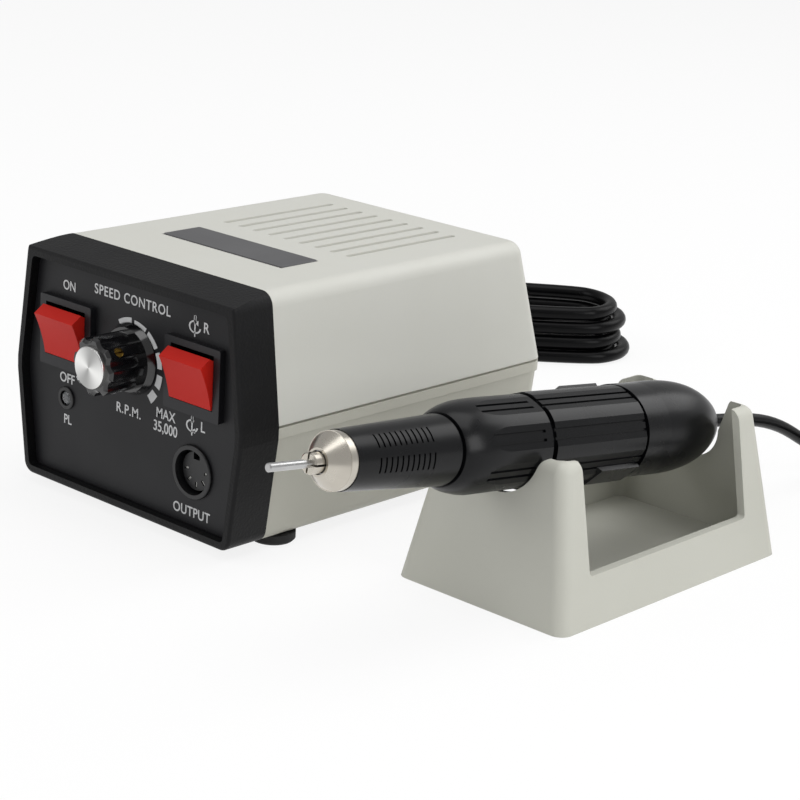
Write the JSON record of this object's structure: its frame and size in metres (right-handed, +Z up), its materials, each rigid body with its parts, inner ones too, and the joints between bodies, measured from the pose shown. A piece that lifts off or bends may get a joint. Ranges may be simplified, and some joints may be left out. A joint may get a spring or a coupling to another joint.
{
  "type": "dental laboratory micromotor",
  "caption": "Bench micromotor set: sloped control box with rockers, speed knob and socket, motor handpiece resting in a notched cradle, cords with plugs.",
  "frame": {"origin": "on the table, under the centre of the control box and the cradle with its handpiece, cords left out", "axes": "+X to the viewer's right along the front panel, from the box to the cradle; +Y from the front panel to the back; +Z up"},
  "size_m": [0.3643, 0.3453, 0.0789],
  "materials": {
    "cover_grey": "fine satin",
    "case_grey": "fine satin",
    "cradle_grey": "fine satin",
    "bezel_black": "spark texture",
    "panel_black": "fine satin",
    "plate_grey": "satin",
    "switch_black": "satin",
    "rocker_red": "satin",
    "knob_black": "glossy",
    "knob_aluminium": "spun",
    "set_screw_brass": "machined",
    "plated_steel": "plated",
    "lamp_clear": "clear",
    "socket_black": "satin",
    "foot_rubber": "matte",
    "core_steel": "laminated",
    "winding_tape": "taped",
    "board_green": "solder mask",
    "part_black": "satin",
    "sink_aluminium": "extruded",
    "fuse_glass": "clear",
    "cord_black": "satin",
    "handpiece_black": "satin",
    "nickel": "satin nickel",
    "bearing_steel": "ground",
    "magnet_grey": "sintered",
    "copper": "turned"
  },
  "bodies": {
    "base": {"upper_cover": "cover_grey", "lower_case": "case_grey", "cradle": "cradle_grey", "front_bezel": "bezel_black", "front_panel": "panel_black", "nameplate": "plate_grey", "power_switch_housing": "switch_black", "direction_switch_housing": "switch_black", "mode_switch_body": "switch_black", "fuse_holder": "switch_black", "foot_control_jack": "switch_black", "potentiometer": "plated_steel", "panel_nuts": "plated_steel", "case_screws": "plated_steel", "chassis_screws": "plated_steel", "transformer_strap": "plated_steel", "pilot_lamp": "lamp_clear", "pilot_lamp_ring": "socket_black", "output_socket": "socket_black", "output_socket_insert": "socket_black", "feet": "foot_rubber", "transformer_core": "core_steel", "transformer_winding": "winding_tape", "circuit_board": "board_green", "capacitor": "part_black", "power_devices": "part_black", "heat_sink": "sink_aluminium", "fuse": "fuse_glass", "mains_strain_relief": "cord_black", "mains_cord_lead": "cord_black", "mains_cord_hank": "cord_black", "mains_cord_tail": "cord_black", "mains_plug": "cord_black", "handpiece_cord_coil": "cord_black", "handpiece_plug": "cord_black"},
    "power_rocker": {"power_rocker": "rocker_red"},
    "direction_rocker": {"direction_rocker": "rocker_red"},
    "speed_knob": {"speed_knob": "knob_black", "knob_cap": "knob_aluminium", "knob_set_screw": "set_screw_brass", "potentiometer_shaft": "plated_steel"},
    "mode_knob": {"mode_switch_knob": "switch_black"},
    "fuse_cap": {"fuse_cap": "switch_black"},
    "handpiece": {"nose_cone": "nickel", "front_sleeve": "handpiece_black", "motor_housing": "handpiece_black", "rear_cap": "handpiece_black", "cord_boot": "cord_black", "ball_bearings": "bearing_steel", "motor_magnets": "magnet_grey", "brushes": "copper", "handpiece_cord_lead": "cord_black"},
    "lock_sleeve": {"lock_sleeve": "handpiece_black"},
    "spindle": {"spindle": "bearing_steel", "collet": "nickel", "shank_pin": "nickel", "collet_spring": "bearing_steel", "drive_coupling": "bearing_steel", "armature": "magnet_grey", "commutator": "copper"}
  },
  "joints": [
    {"name": "power_rocker_tip", "type": "hinge", "parent": "base", "child": "power_rocker", "pos_m": [-0.07595, -0.04357, 0.05195], "axis": [-1, 0, 0], "range_deg": [0, 37]},
    {"name": "direction_rocker_tip", "type": "hinge", "parent": "base", "child": "direction_rocker", "pos_m": [-0.01875, -0.04357, 0.05195], "axis": [-1, 0, 0], "range_deg": [0, 37]},
    {"name": "speed_knob_turn", "type": "hinge", "parent": "base", "child": "speed_knob", "pos_m": [-0.04735, -0.04297, 0.0503], "axis": [0, 1, 0], "range_deg": [0, 285]},
    {"name": "mode_switch_slide", "type": "slide", "parent": "base", "child": "mode_knob", "axis": [1, 0, 0], "range_m": [0, 0.004]},
    {"name": "fuse_cap_turn", "type": "hinge", "parent": "base", "child": "fuse_cap", "pos_m": [-0.02085, 0.09003, 0.022], "axis": [0, 1, 0], "range_deg": [-45, 0]},
    {"name": "handpiece_lift", "type": "slide", "parent": "base", "child": "handpiece", "axis": [0, 0, 1], "range_m": [0, 0.06], "deforming": ["handpiece_cord_lead"]},
    {"name": "lock_sleeve_twist", "type": "hinge", "parent": "handpiece", "child": "lock_sleeve", "pos_m": [0.06735, -0.00597, 0.0469], "axis": [0, 0.9914, -0.1305], "range_deg": [0, 45]},
    {"name": "spindle_spin", "type": "hinge", "parent": "handpiece", "child": "spindle", "pos_m": [0.06735, -0.00597, 0.0469], "axis": [0, 0.9914, -0.1305], "continuous": true}
  ]
}
